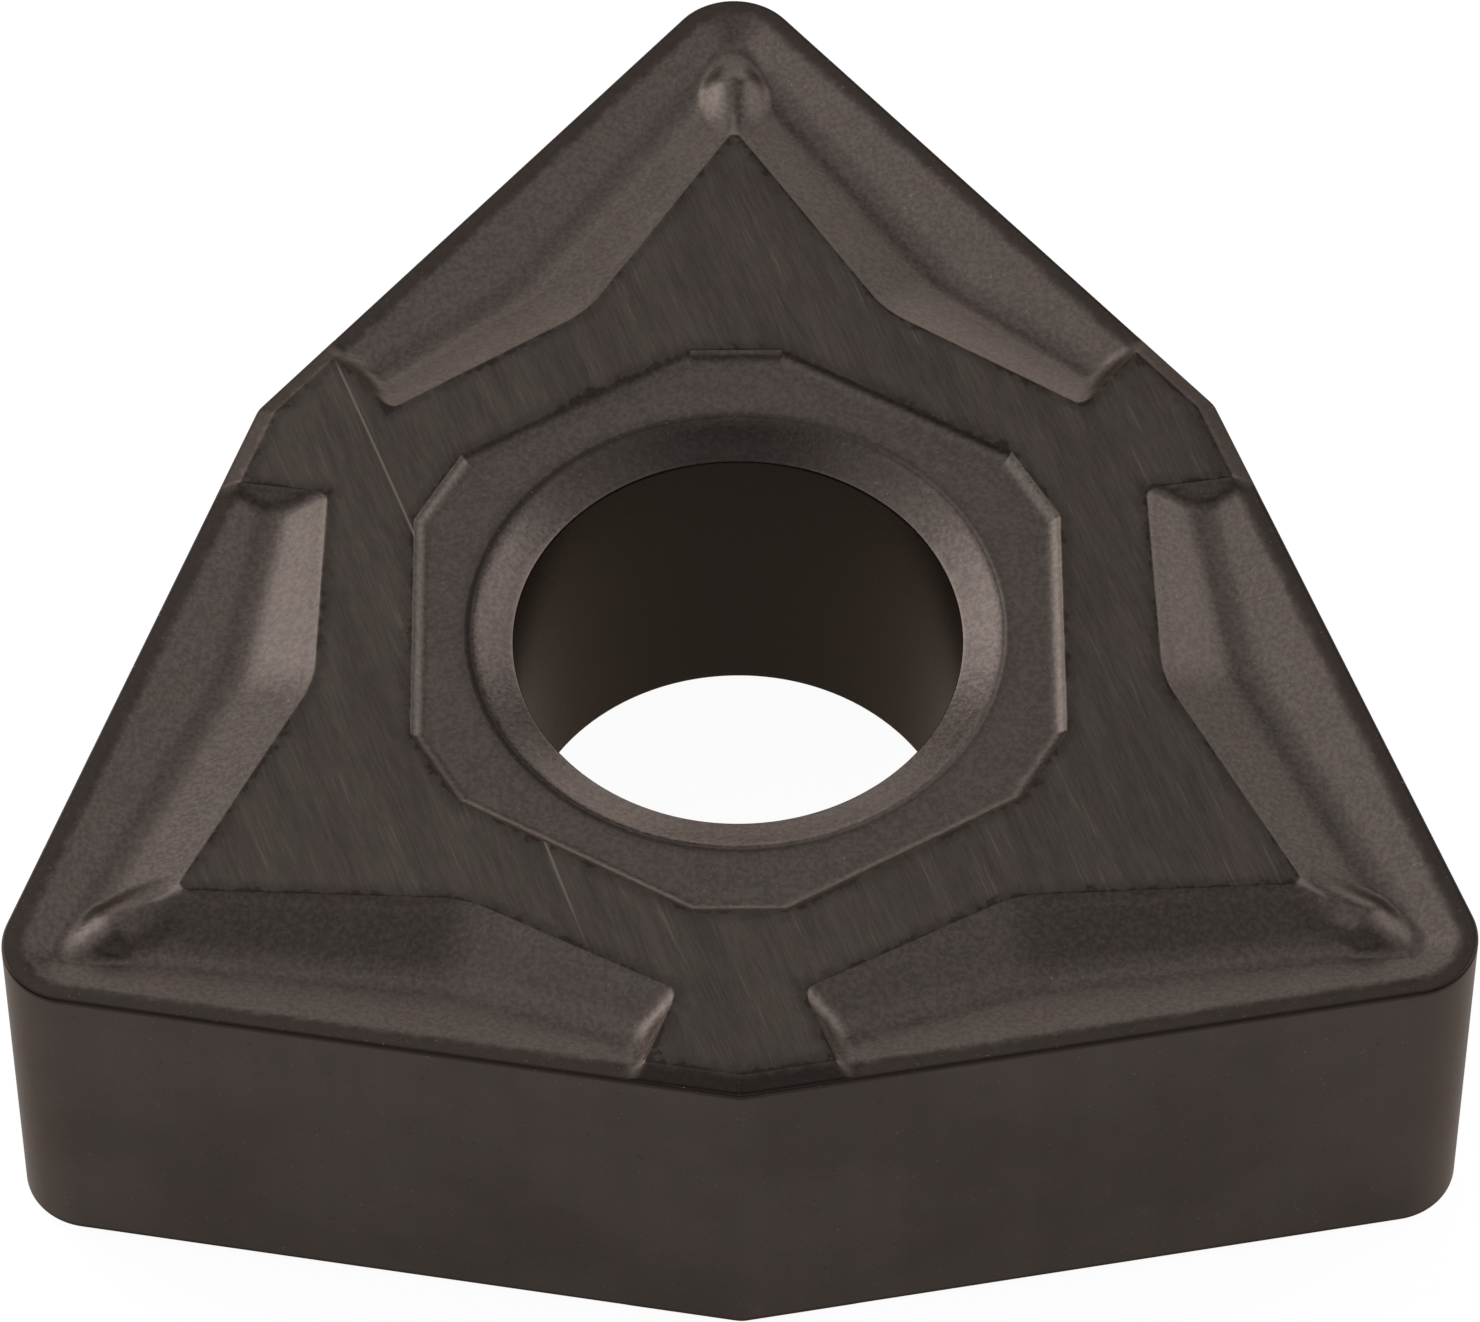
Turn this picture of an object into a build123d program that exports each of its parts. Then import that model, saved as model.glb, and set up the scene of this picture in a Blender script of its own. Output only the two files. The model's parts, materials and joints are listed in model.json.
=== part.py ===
from build123d import *
import os
from math import atan, cos, degrees, hypot, radians, sin, tan

# Double-sided turning insert, shape W: a six-sided body with three 80 degree noses, pressed
# and sintered in one piece. Millimetres. The origin is on the bore's axis at mid-thickness,
# +Z runs along the bore and +Y points at one nose. Heights inside the chip former are
# measured from the cutting edge, and the same former is pressed into both faces.

# Body
inscribed_circle = 12.70        # the circle that touches all six flanks
thickness = 4.76                # from a cutting edge to the seat on the opposite face
nose_angle = 80.0               # between the two flanks of a nose
nose_radius = 0.80
corner_radius = 0.35            # rounding of the three blunt corners between the noses
seat_rise = 0.10                # the ground seat stands this far above the cutting edge
seat_bevel_width = 0.24         # the bevel from the seat down to the edge at a blunt corner

# Bore and the recess round it
bore_diameter = 5.16
sink_diameter = 6.12            # where the countersink starts in the recess floor
sink_angle = 20.0               # slope of the countersink from the horizontal
recess_across_long_sides = 7.47
recess_across_short_sides = 8.00
recess_depth = 0.10
recess_wall_width = 0.13        # seen from above

# Chip former: the groove behind each cutting edge
land_width = 0.20               # flat land behind the cutting edge
land_radius = 0.40              # where the land rolls over into the rake face
rake_angle = 18.0               # the rake face drops inward from the land
breaker_angle = 22.0            # the wall that climbs from the groove to the seat
floor_radius = 0.70             # the hollow between the rake face and that wall
groove_width_at_end = 1.24      # from the cutting edge to the seat, at the groove's blunt end
groove_width_at_bend = 2.07     # and where the wall bends
bend_from_nose = 5.18           # along the flank, from the sharp corner of the nose
end_from_corner = 1.17          # along the flank, from the sharp blunt corner to the end wall
end_wall_angle = 45.0
end_wall_turn = 11.3            # seen from above, it leans back from square to the flank
end_wall_radius = 0.14          # between that end wall and the climbing wall
seat_tip_from_nose = 2.56       # from the sharp corner of the nose to where the two walls meet

# Raised bump on the nose's centre line
ramp_setback = 0.09             # the ramp trims the seat's tip by this much
ramp_length = 0.26
ramp_drop = 0.07                # from the seat to the bump's crest
crest_half_width = 0.10
crest_end_from_nose = 1.62      # from the sharp corner of the nose
crest_radius = 0.25
bump_side_angle = 30.0
bump_end_angle = 21.0
bump_root = 0.15                # how far its slopes run on below the groove's floor

# Worked out from the sizes above
flank_distance = inscribed_circle / 2
half_nose = radians(nose_angle / 2)
nose_vertex = flank_distance / sin(half_nose)
flank_turn = 90 - nose_angle / 2
corner_vertex = flank_distance / cos(radians(60 - flank_turn))
flank_tangent_to_nose = flank_distance * tan(radians(flank_turn))
flank_tangent_to_corner = flank_distance * tan(radians(60 - flank_turn))
arc_centre = nose_vertex - nose_radius / sin(half_nose)
arc_start = flank_tangent_to_nose - nose_radius / tan(half_nose)
edge_height = (thickness - seat_rise) / 2
seat_height = edge_height + seat_rise
recess_floor = seat_height - recess_depth
seat_tip = nose_vertex - seat_tip_from_nose
crest_height = seat_height - ramp_drop
groove_depth = tan(radians(rake_angle)) * (nose_radius - land_width)
bump_height = crest_height - edge_height + groove_depth + bump_root
bend_place = flank_tangent_to_nose - bend_from_nose
end_place = end_from_corner - flank_tangent_to_corner
end_corner_place = end_place - groove_width_at_end * tan(radians(end_wall_turn))
clear = 0.20                    # how far cutting bodies run past the metal they remove


def outline():
    """The insert seen from above: three noses and three blunt corners, all rounded."""
    corners = []
    for turn in (90, 210, 330):
        corners.append((nose_vertex * cos(radians(turn)), nose_vertex * sin(radians(turn))))
        corners.append((corner_vertex * cos(radians(turn + 60)), corner_vertex * sin(radians(turn + 60))))
    plan = Polygon(*corners, align=None)
    by_reach = plan.vertices().sort_by(lambda vertex: vertex.X ** 2 + vertex.Y ** 2)
    plan = fillet(by_reach[3:], nose_radius)
    by_reach = plan.vertices().sort_by(lambda vertex: vertex.X ** 2 + vertex.Y ** 2)
    return fillet(by_reach[:3], corner_radius)


def blank():
    """The upper half of the body before pressing, bevelled all round down to the cutting edge."""
    half = extrude(outline(), seat_height)
    seat = half.faces().sort_by(Axis.Z)[-1]
    return chamfer(seat.edges(), seat_bevel_width, seat_rise, reference=seat)


def section_plane(place):
    """Square to the left flank of the +Y nose: x runs inward from the cutting edge, y up."""
    along = Vector(cos(radians(90 - nose_angle / 2)), sin(radians(90 - nose_angle / 2)), 0)
    inward = Vector(along.Y, -along.X, 0)
    origin = along * place - inward * flank_distance + Vector(0, 0, edge_height)
    return Plane(origin=origin, x_dir=inward, z_dir=-along)


def groove_section(width):
    """Land, rake face, hollow and climbing wall, closed above the seat."""
    fall = tan(radians(rake_angle))
    climb = tan(radians(breaker_angle))
    valley = (climb * width - seat_rise + fall * land_width) / (climb + fall)
    depth = fall * (valley - land_width)
    top = seat_rise + clear
    rake_length = hypot(valley - land_width, depth) - land_radius * tan(radians(rake_angle / 2))
    widest_hollow = rake_length / tan(radians(rake_angle + breaker_angle) / 2)
    section = make_face(Polyline(
        (-clear, 0),
        (land_width, 0),
        (valley, -depth),
        (width + clear / climb, top),
        (-clear, top),
        close=True,
    ))
    roll = section.vertices().sort_by_distance((land_width, 0))[0]
    section = fillet(roll, land_radius)
    hollow = section.vertices().sort_by_distance((valley, -depth))[0]
    return fillet(hollow, min(floor_radius, 0.95 * widest_hollow))


def width_at(place):
    """The wall between the bend and the nose is straight: it runs from the bend to the seat's tip."""
    tip_place = flank_tangent_to_nose - seat_tip_from_nose * cos(half_nose)
    tip_width = seat_tip_from_nose * sin(half_nose)
    slope = (tip_width - groove_width_at_bend) / (tip_place - bend_place)
    return groove_width_at_bend + slope * (place - bend_place)


def side_groove():
    """The groove along one flank, from its end wall to where the nose's arc starts."""
    slope = (groove_width_at_bend - groove_width_at_end) / (bend_place - end_corner_place)
    tilt = radians(end_wall_angle)
    turn = radians(end_wall_turn)
    overrun = 2 * clear / tan(tilt)
    stations = (
        (end_corner_place - overrun, groove_width_at_end - slope * overrun),
        (bend_place, groove_width_at_bend),
        (arc_start, width_at(arc_start)),
    )
    groove = loft([section_plane(place) * groove_section(width) for place, width in stations], ruled=True)

    end_plane = section_plane(end_place)
    ahead = end_plane.x_dir * sin(turn) - end_plane.z_dir * cos(turn)
    facing = ahead * sin(tilt) + Vector(0, 0, cos(tilt))
    end_wall = Plane(origin=end_plane.origin + Vector(0, 0, seat_rise), z_dir=facing)
    groove = split(groove, bisect_by=end_wall, keep=Keep.TOP)

    face = groove.faces().sort_by(lambda face: abs(end_wall.to_local_coords(face.center()).Z))[0]
    top = face.edges().sort_by(Axis.Z)[-1]
    inside = [edge for edge in face.edges() if end_plane.to_local_coords(edge.center()).X > 0]
    return fillet([edge for edge in inside if edge is not top], end_wall_radius)


def nose_groove():
    """The same section swept round the nose's arc, as far in as the arc's centre."""
    reach = Pos(nose_radius, 0) * Rectangle(2 * nose_radius, 2 * nose_radius, align=(Align.MAX, Align.CENTER))
    section = section_plane(arc_start) * (groove_section(width_at(arc_start)) & reach)
    spin = Axis((0, arc_centre, 0), (0, 0, -1))
    return revolve(section, axis=spin, revolution_arc=180 - nose_angle)


def tip_relief():
    """Trims the seat's tip with a short ramp down to the level of the bump's crest, and ends with it."""
    start = seat_tip - ramp_setback
    end = nose_vertex - crest_end_from_nose
    slope = ramp_drop / ramp_length
    side_view = make_face(Plane.YZ * Polyline(
        (start - clear, seat_height + slope * clear),
        (start + ramp_length, crest_height),
        (end, crest_height),
        (end, seat_height + slope * clear),
        close=True,
    ))
    return extrude(side_view, nose_radius, both=True)


def tongue(half_width, far_end, height):
    """A flat tongue that starts under the seat and ends in a half circle towards the nose."""
    near_end = seat_tip - ramp_setback - half_width
    slot = SlotOverall(far_end - near_end, 2 * half_width, rotation=90)
    return Pos(0, (far_end + near_end) / 2, height) * slot


def bump():
    """A long low mound on the nose's centre line, level along its crest."""
    crest_end = nose_vertex - crest_end_from_nose
    foot_half_width = crest_half_width + bump_height / tan(radians(bump_side_angle))
    foot_end = crest_end + bump_height / tan(radians(bump_end_angle))
    foot = tongue(foot_half_width, foot_end, crest_height - bump_height)
    crest = tongue(crest_half_width, crest_end, crest_height)
    mound = loft([foot, crest], ruled=True)
    return fillet(mound.faces().sort_by(Axis.Z)[-1].edges(), crest_radius)


def chip_former():
    """All that is pressed into one nose of one face, with the bump left standing."""
    side = side_groove()
    return side + mirror(side, about=Plane.YZ) + nose_groove() + tip_relief() - bump()


def recess():
    """The unground hexagon with cut corners that keeps the seat clear of the bore."""
    long_sides = RegularPolygon(recess_across_long_sides / 2, 6, major_radius=False)
    short_sides = RegularPolygon(recess_across_short_sides / 2, 6, major_radius=False, rotation=30)
    rim = Pos(0, 0, seat_height) * (long_sides & short_sides)
    return extrude(rim, -recess_depth, taper=degrees(atan(recess_wall_width / recess_depth)))


def sunk_bore():
    """The upper half of the bore and its countersink, turned from one section."""
    radius = bore_diameter / 2
    rim = sink_diameter / 2
    slope = tan(radians(sink_angle))
    section = make_face(Plane.XZ * Polyline(
        (0, -clear),
        (radius, -clear),
        (radius, recess_floor - (rim - radius) * slope),
        (rim + clear, recess_floor + clear * slope),
        (0, recess_floor + clear * slope),
        close=True,
    ))
    return revolve(section, axis=Axis.Z)


def insert():
    """The whole insert: both faces are pressed alike, nose over nose."""
    former = chip_former()
    half = blank() - [Rot(0, 0, turn) * former for turn in (0, 120, 240)] - recess() - sunk_bore()
    return half + mirror(half, about=Plane.XY)


os.makedirs("parts", exist_ok=True)
body = insert()
body.label = "insert_body"
export_step(body, "parts/insert_body.step")
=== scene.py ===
"""The finished look of a double-sided turning insert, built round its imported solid.

Lengths are in metres and angles in radians. The insert lies flat with its bore along Z and one
nose at +Y. Everything is worked out for one twelfth of it, the left half of that nose on the
upper face, and turned and mirrored from there.
"""

import json
import math
from types import SimpleNamespace

import bmesh
import bpy
import numpy as np
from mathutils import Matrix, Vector


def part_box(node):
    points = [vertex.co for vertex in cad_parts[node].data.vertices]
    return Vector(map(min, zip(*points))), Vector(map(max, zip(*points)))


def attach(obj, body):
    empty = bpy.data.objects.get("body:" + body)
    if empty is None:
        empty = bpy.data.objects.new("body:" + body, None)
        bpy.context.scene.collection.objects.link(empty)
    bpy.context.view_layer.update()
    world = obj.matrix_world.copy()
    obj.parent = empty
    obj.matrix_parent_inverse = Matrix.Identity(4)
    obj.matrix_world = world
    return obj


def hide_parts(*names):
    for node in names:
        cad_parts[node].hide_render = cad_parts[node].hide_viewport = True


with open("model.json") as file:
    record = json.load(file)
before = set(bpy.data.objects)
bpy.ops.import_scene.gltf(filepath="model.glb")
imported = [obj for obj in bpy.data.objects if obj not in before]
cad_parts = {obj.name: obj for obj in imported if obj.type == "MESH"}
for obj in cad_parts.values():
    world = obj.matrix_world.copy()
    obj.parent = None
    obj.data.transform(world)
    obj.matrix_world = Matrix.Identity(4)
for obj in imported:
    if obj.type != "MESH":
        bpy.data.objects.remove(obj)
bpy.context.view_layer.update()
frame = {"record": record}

bl_info = {
    "name": "Turning insert",
    "version": (1, 0, 0),
    "blender": (4, 5, 0),
    "location": "3D View > Sidebar > Insert",
    "description": "Builds a coated, double-sided turning insert and the studio round it",
    "category": "Add Mesh",
}

MM = 0.001
BODY = "root"
SOLID = "insert_body"
SEAT_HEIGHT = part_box(SOLID)[1].z
BORE = next(mount for mount in frame["record"]["mounts"] if mount["name"] == "bore")
SENSOR_WIDTH = 36               # in millimetres, as a camera's data has it
CLIP_START, CLIP_END = 0.005, 10
TINY = 1e-9                     # allowance where places or directions are compared
MERGE = 0.0004 * MM             # points this close together become one
INNER_INSET = 5 * MM            # stands for every inset past the seat's edge

# Directions seen from above. The half sector lies between those of a blunt corner and of the nose.
NOSE_DIRECTION = math.radians(90)
CORNER_DIRECTION = math.radians(150)
HALF_NOSE = math.radians(40)
FLANK_TURN = NOSE_DIRECTION - HALF_NOSE
FLANK_NORMAL = NOSE_DIRECTION + FLANK_TURN
CORNER_TURN = CORNER_DIRECTION - FLANK_NORMAL


def length(name, millimetres, description):
    """A length the user can change, given in millimetres and kept in metres."""
    return bpy.props.FloatProperty(
        name=name, description=description, default=millimetres * MM, unit="LENGTH", precision=5)


def angle(name, degrees, description):
    """An angle the user can change, given in degrees and kept in radians."""
    return bpy.props.FloatProperty(
        name=name, description=description, default=math.radians(degrees), unit="ROTATION")


def number(name, value, description):
    """A plain number the user can change."""
    return bpy.props.FloatProperty(name=name, description=description, default=value, precision=4)


def colour(name, value, description):
    """A linear colour the user can change."""
    return bpy.props.FloatVectorProperty(
        name=name, description=description, default=value, size=3, subtype="COLOR", min=0, max=1)


class InsertShape(bpy.types.PropertyGroup):
    """Sizes of the insert. Heights in the chip former are measured from the cutting edge."""

    inscribed_circle: length("Inscribed circle", 12.70, "Circle that touches all six flanks")
    nose_radius: length("Nose radius", 0.80, "Rounding of the three noses")
    corner_radius: length("Blunt corner radius", 0.35, "Rounding of the corners between the noses")
    hone: length("Edge hone", 0.035, "Rounding of the cutting edge")
    seat_rise: length("Seat rise", 0.10, "Height of the ground seat above the cutting edge")
    bevel_width: length("Bevel width", 0.24, "Bevel from the seat to the edge at a blunt corner")
    crease: length("Crease width", 0.014, "Width over which a pressed crease is rounded")

    bore_radius: length("Bore radius", BORE["dims"]["r_mm"], "Radius of the bore")
    bore_lip: length("Bore lip", 0.03, "Rounding between the countersink and the bore")
    sink_radius: length("Countersink radius", 3.06, "Where the countersink starts")
    sink_angle: angle("Countersink slope", 24, "Mean slope of the countersink from the horizontal")
    sink_hollow: number("Countersink hollow", 0.10, "How much steeper it is at its rim than at the bore")
    sink_line: length("Countersink line", 0.012, "Depth of the fine line round the countersink")
    recess_long: length("Recess, long sides", 3.735, "From the axis to the long sides of the recess")
    recess_short: length("Recess, short sides", 4.00, "From the axis to its short sides")
    recess_depth: length("Recess depth", 0.10, "Depth of the recess below the seat")
    recess_wall: length("Recess wall", 0.19, "Width of its hollow wall, seen from above")

    land: length("Land", 0.20, "Flat land behind the cutting edge")
    land_roll: length("Land roll", 0.063, "Half the width over which the land rolls over")
    rake_angle: angle("Rake", 18, "Slope of the rake face, down from the land")
    wall_angle: angle("Climbing wall", 22, "Slope of the wall from the groove up to the seat")
    hollow: length("Hollow", 0.245, "Half the width of the hollow between rake face and wall")
    width_at_end: length("Width at the end", 1.24, "Cutting edge to seat at the groove's blunt end")
    width_at_bend: length("Width at the bend", 2.07, "Cutting edge to seat where the wall bends")
    bend_from_nose: length("Bend", 5.18, "From the sharp corner of the nose, along the flank")
    bend_round: length("Bend rounding", 0.28, "Half the length over which the wall bends")
    end_from_corner: length("End wall", 1.17, "From the sharp blunt corner to the end wall")
    end_angle: angle("End wall slope", 45, "Slope of the groove's end wall")
    end_lean: angle("End wall lean", 11.3, "How far the end wall leans back from square")
    end_round: length("End wall rounding", 0.12, "Height over which it blends into the groove")
    tip_from_nose: length("Seat tip", 2.56, "From the sharp corner of the nose to the seat's tip")

    ramp_setback: length("Ramp setback", 0.09, "How much the ramp trims off the seat's tip")
    ramp_slope: angle("Ramp slope", 11, "Slope of the ramp from the seat's tip to the bump")
    ramp_hollow: length("Ramp hollow", 0.60, "Radius of the ramp's section across the nose")
    crest_end: length("Crest end", 1.72, "From the sharp corner of the nose to the bump's highest point")
    crest_drop: length("Crest drop", 0.045, "From the seat down to that point")
    crest_climb: angle("Crest climb", 2.5, "Slope of the bump's crest, up from the ramp to that point")
    bump_end: angle("Bump end", 20, "Slope of the bump's end, down towards the nose")
    bump_radius: length("Bump radius", 0.36, "Radius of the bump's section across the nose")
    bump_round: length("Bump rounding", 0.09, "Height over which the bump blends into the groove")
    facet: length("Corner facet", 0.06, "Rounding of the crest between the bevel and an end wall")

    def place(self):
        """The sizes that follow from the ones above, by name."""
        flank = self.inscribed_circle / 2
        nose = flank / math.sin(HALF_NOSE)
        along_nose = flank / math.tan(HALF_NOSE)
        along_corner = flank * math.tan(CORNER_TURN)
        end = self.end_from_corner - along_corner
        tip = nose - self.tip_from_nose
        return {
            "flank": flank,
            "nose": nose,
            "corner": -along_corner,
            "corner_centre": (flank - self.corner_radius) / math.cos(CORNER_TURN),
            "arc_centre": nose - self.nose_radius / math.sin(HALF_NOSE),
            "arc_start": along_nose - self.nose_radius / math.tan(HALF_NOSE),
            "edge": SEAT_HEIGHT - self.seat_rise,
            "bend": along_nose - self.bend_from_nose,
            "end": end,
            "end_corner": end - self.width_at_end * math.tan(self.end_lean),
            "tip": tip,
            "tip_place": tip * math.cos(HALF_NOSE),
            "tip_width": flank - tip * math.sin(HALF_NOSE),
        }


class InsertFinish(bpy.types.PropertyGroup):
    """Colours and surface of the coating."""

    pressed: colour("Pressed surface", (0.0856, 0.0704, 0.0634), "Coating over the chip former and recess")
    ground: colour("Ground seats", (0.0655, 0.0545, 0.0479), "Coating over the ground seats")
    flank: colour("Flanks", (0.0630, 0.0528, 0.0480), "Coating over the flanks")
    sunk: colour("Countersink", (0.0840, 0.0686, 0.0622), "Coating over the countersink")
    # Painted shade: the bore's colour is darker than the coating elsewhere, to stand for the shade inside
    # the bore.
    bore: colour("Bore", (0.0330, 0.0256, 0.0203), "Thin coating inside the bore")
    honed: colour("Honed edge", (0.0300, 0.0234, 0.0206), "Brushed coating along the cutting edge")
    glancing: colour("Glancing tint", (0.78, 0.70, 0.65), "Tint of the coating seen at a glancing angle")
    pressed_roughness: number("Pressed roughness", 0.37, "Roughness of the pressed surfaces")
    ground_roughness: number("Ground roughness", 0.37, "Roughness of the ground seats")
    honed_roughness: number("Honed roughness", 0.34, "Roughness along the cutting edge")
    sunk_polish: number("Countersink polish", 0.08, "How much less rough the countersink is")
    grain: length("Grain height", 0.0028, "Height of the sintered grain")
    scratch: length("Scratch depth", 0.0006, "Depth of the grinding lines on the seats")
    grinding: angle("Grinding direction", -70.44, "Direction of the grinding lines, from +X")
    scratch_start: bpy.props.FloatVectorProperty(
        name="Scratch start", description="Where the long scratch on the upper seat starts", size=2,
        default=(-4.694 * MM, 3.870 * MM), subtype="TRANSLATION", unit="LENGTH", precision=5)
    scratch_length: length("Scratch length", 9.343, "Length of the long scratch")
    scratch_bow: length("Scratch bow", 0.06, "How far the long scratch bows out in its middle")


class InsertStudio(bpy.types.PropertyGroup):
    """Camera, lamps and floor."""

    eye: bpy.props.FloatVectorProperty(
        name="Camera place", description="Where the camera stands", size=3,
        default=(-0.246 * MM, -64.760 * MM, 90.002 * MM), subtype="TRANSLATION", unit="LENGTH", precision=5)
    aim: bpy.props.FloatVectorProperty(
        name="Camera turn", description="How the camera is turned", size=3,
        default=[math.radians(turn) for turn in (36.2581, 0.0664, -0.3291)], subtype="EULER")
    lens: number("Lens", 231.06, "Focal length in millimetres, on a sensor 36 mm wide")
    left: number("Left lamp", 0.172, "Power in watts")
    right: number("Right lamp", 0.079, "Power in watts")
    front: number("Front lamp", 0.082, "Power in watts")
    rear_left: number("Rear left lamp", 0.065, "Power in watts")
    rear_right: number("Rear right lamp", 0.134, "Power in watts")
    low_left: number("Low left lamp", 0.258, "Power in watts")
    low_right: number("Low right lamp", 0.084, "Power in watts")
    low_rear: number("Low rear lamp", 0.120, "Power in watts")
    low_rear_right: number("Low rear right lamp", 0.046, "Power in watts")
    high_left: number("High left lamp", 0.072, "Power in watts")
    high_right: number("High right lamp", 0.046, "Power in watts")
    high_rear_left: number("High rear left lamp", 0.044, "Power in watts")
    high_rear_right: number("High rear right lamp", 0.036, "Power in watts")
    overhead: number("Overhead lamp", 0.033, "Power in watts")
    distance: length("Lamp distance", 250, "From the insert to each lamp")
    lamp_width: length("Lamp width", 200, "Width of each lamp")
    lamp_height: length("Lamp height", 120, "Height of each lamp")
    room: number("Room light", 0.05, "Brightness of the room round the lamps")
    floor: colour("Floor", (0.85, 0.85, 0.85), "Colour of the floor")
    floor_size: length("Floor size", 3000, "Length of the floor's sides")
    floor_gap: length("Floor gap", 0.02, "How far the floor lies below the lower seats")
    floor_white: number("Floor white", 0.90, "Share of plain white that the camera sees in the floor")
    floor_gloss: number("Floor gloss", 0.45, "Share of plain white that the insert reflects from it")
    floor_glow: number("Floor glow", 1.06, "Brightness of that plain white")


# Where each lamp stands: degrees round from +X, and degrees up from the floor.
LAMPS = {
    "left": (150, 35), "right": (0, 35), "front": (270, 35), "rear_left": (120, 35), "rear_right": (30, 35),
    "low_left": (150, 12), "low_right": (30, 12), "low_rear": (90, 12), "low_rear_right": (60, 12),
    "high_left": (180, 60), "high_right": (0, 60), "high_rear_left": (120, 60), "high_rear_right": (60, 60),
    "overhead": (0, 90),
}


def soft_max(first, second, blend):
    """The larger of two heights, plus (blend - their difference)^2 / (4 blend) where they are close."""
    near = np.maximum(blend - np.abs(first - second), 0)
    return np.maximum(first, second) + near ** 2 / (4 * blend)


def soft_min(first, second, blend):
    """The smaller of two heights, rounded in the same way."""
    return -soft_max(-first, -second, blend)


def towards(turn):
    """The unit vector in a direction of the plan, or one for each direction of an array."""
    return np.stack((np.cos(turn), np.sin(turn)), -1)


def to_plan(along, inset, flank):
    """From the flank's own coordinates to the plan.

    along runs along the flank from the foot of the axis towards the nose, and inset square to it,
    inwards from the cutting edge: point = along * U + (flank - inset) * N, with U and N the flank's
    direction and its outward normal.
    """
    return along[..., None] * towards(FLANK_TURN) + (flank - inset)[..., None] * towards(FLANK_NORMAL)


def from_plan(plan, flank):
    """From the plan back to the flank's own coordinates: along = P U and inset = flank - P N."""
    return plan @ towards(FLANK_TURN), flank - plan @ towards(FLANK_NORMAL)


def wall_width(along, shape, at):
    """Cutting edge to seat: two straight lines, one each side of the bend, and the lower of them."""
    near_nose = (at["tip_width"] - shape.width_at_bend) / (at["tip_place"] - at["bend"])
    near_end = (shape.width_at_bend - shape.width_at_end) / (at["bend"] - at["end_corner"])
    rounding = (near_end - near_nose) * shape.bend_round
    return soft_min(
        shape.width_at_bend + near_end * (along - at["bend"]),
        shape.width_at_bend + near_nose * (along - at["bend"]),
        rounding)


def crest_height(y, shape, at):
    """Height of the bump's crest: it climbs gently to its highest point and falls evenly past it."""
    past = y - (at["nose"] - shape.crest_end)
    climb = past * math.tan(shape.crest_climb)
    fall = -past * math.tan(shape.bump_end)
    return shape.seat_rise - shape.crest_drop + soft_min(climb, fall, 0.4 * shape.bump_round)


def bump_height(x, y, shape, at):
    """The bump on the nose's centre line, round in section: it falls by x^2 / (2 R) from its crest."""
    return crest_height(y, shape, at) - x ** 2 / (2 * shape.bump_radius)


def ramp_height(x, y, shape, at):
    """The ramp at the seat's tip, a plane that is hollow across the nose as x^2 / (2 R)."""
    start = at["tip"] - shape.ramp_setback
    return shape.seat_rise - (y - start) * math.tan(shape.ramp_slope) + x ** 2 / (2 * shape.ramp_hollow)


def pressed_height(point, along, inset, shape, at):
    """Height of the upper face above the cutting edge, outside the recess.

    The blank's face is the lower of the seat and the bevel. The chip former cuts it down to the
    highest of the rake face, the climbing wall and the end wall, and a ramp trims that at the
    seat's tip. The bump stands in the groove. Each pair is joined with a soft corner, the widest
    where the bevel meets an end wall.
    """
    x, y = point[..., 0], point[..., 1]
    fall, climb = math.tan(shape.rake_angle), math.tan(shape.wall_angle)
    seat = np.full_like(inset, shape.seat_rise)
    blank = soft_min(seat, inset * shape.seat_rise / shape.bevel_width, 0.4 * shape.crease)

    rake = soft_min(np.zeros_like(inset), (shape.land - inset) * fall, fall * shape.land_roll)
    width = wall_width(np.minimum(along, at["arc_start"]), shape, at)
    wall = shape.seat_rise - (width - inset) * climb
    groove = soft_max(rake, wall, (fall + climb) * shape.hollow)
    beyond = (along - at["end"] + inset * math.tan(shape.end_lean)) * math.cos(shape.end_lean)
    end_wall = shape.seat_rise - beyond * math.tan(shape.end_angle)
    groove = soft_max(groove, end_wall, shape.end_round)

    crest = crest_height(np.minimum(y, at["nose"] - shape.crest_end), shape, at)
    ramp = soft_max(ramp_height(x, y, shape, at), crest, 0.8 * shape.crease)
    groove = soft_min(groove, ramp, shape.crease)
    groove = soft_max(groove, bump_height(x, y, shape, at), shape.bump_round)

    lower = np.minimum(blank, groove)
    on_bevel = np.clip(lower / (0.2 * shape.seat_rise), 0, 1)
    below_seat = np.clip((shape.seat_rise - lower) / (0.3 * shape.seat_rise), 0, 1)
    return soft_min(blank, groove, 0.6 * shape.crease + shape.facet * on_bevel * below_seat)


def flank_columns(shape, at):
    """Where the grid's columns start on the cutting edge, from the blunt corner to the nose's arc.

    They stand close together at the end wall, at the bend and round the seat's tip. Returns the
    places up to the seat's tip and those from there to the arc.
    """
    end, bend, tip = at["end"], at["bend"], at["tip_place"]
    corner_arc = -(at["flank"] - shape.corner_radius) * math.tan(CORNER_TURN)
    near_end = np.array((-0.06, -0.03, -0.012, 0, 0.012, 0.03, 0.05, 0.07, 0.09, 0.11, 0.135, 0.16,
                         0.19, 0.22, 0.26, 0.31, 0.36)) * MM
    ring = np.concatenate((
        np.linspace(at["corner"], corner_arc, 3),
        np.linspace(corner_arc, end + near_end[0], 7)[1:-1],
        end + near_end,
        np.linspace(end + near_end[-1], bend - 0.24 * MM, 11)[1:],
        bend + np.linspace(-0.18, 0.18, 7) * MM,
        np.linspace(bend + 0.24 * MM, tip - 0.42 * MM, 15),
        np.linspace(tip - 0.36 * MM, tip, 9),
    ))
    return ring, np.linspace(tip, at["arc_start"], 23)


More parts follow.
